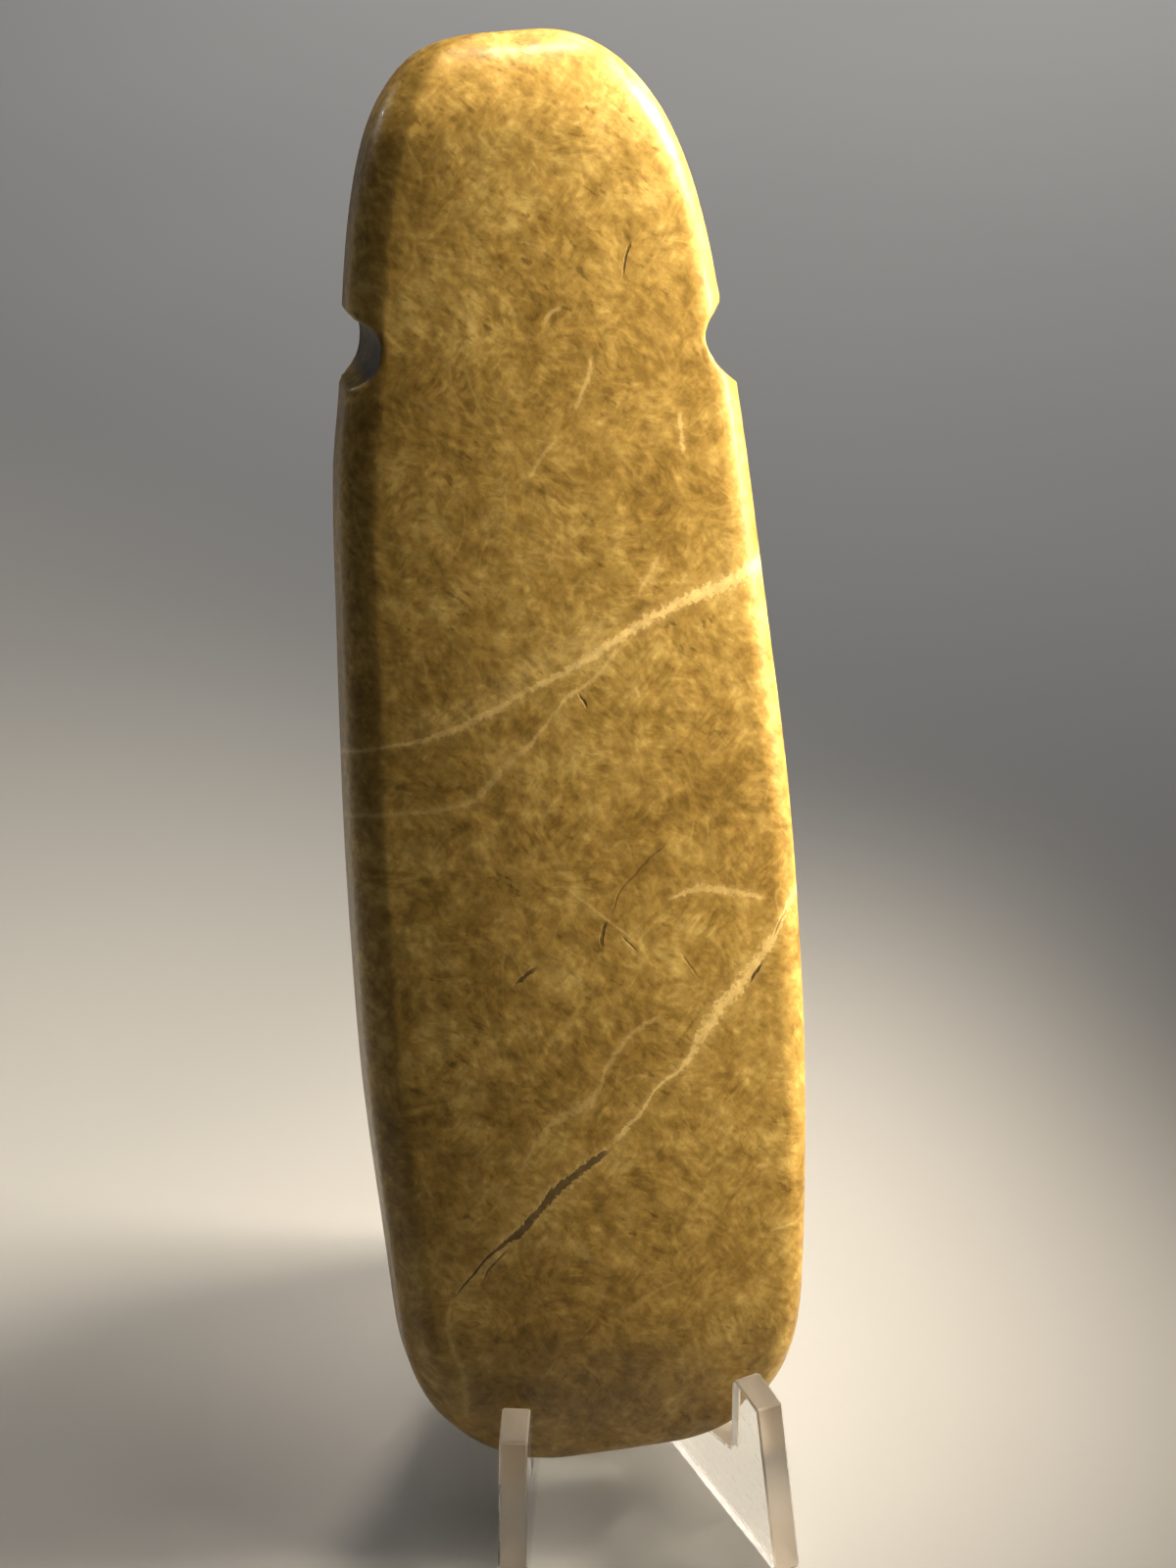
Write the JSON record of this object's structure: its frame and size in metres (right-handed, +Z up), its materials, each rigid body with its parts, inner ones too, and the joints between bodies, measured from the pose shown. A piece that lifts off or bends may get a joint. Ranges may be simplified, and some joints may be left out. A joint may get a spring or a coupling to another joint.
{
  "type": "jade axe god",
  "caption": "Polished jade celt pendant with a notch ground in each side, leaning back in a small clear plastic easel of two profile plates.",
  "frame": {"origin": "centre of the footprint of the whole, on the plane that the easel stands on", "axes": "+Z up, -Y towards the front that the hooks point to, +X to the right of someone who looks at the front"},
  "size_m": [0.0466, 0.0618, 0.1552],
  "materials": {
    "polished_jade": "polished olive brown jade with pale veins",
    "clear_plastic": "clear, polished faces and edges"
  },
  "bodies": {
    "root": {"axe_god": "polished_jade", "easel_plate_left": "clear_plastic", "easel_plate_right": "clear_plastic"}
  },
  "joints": []
}
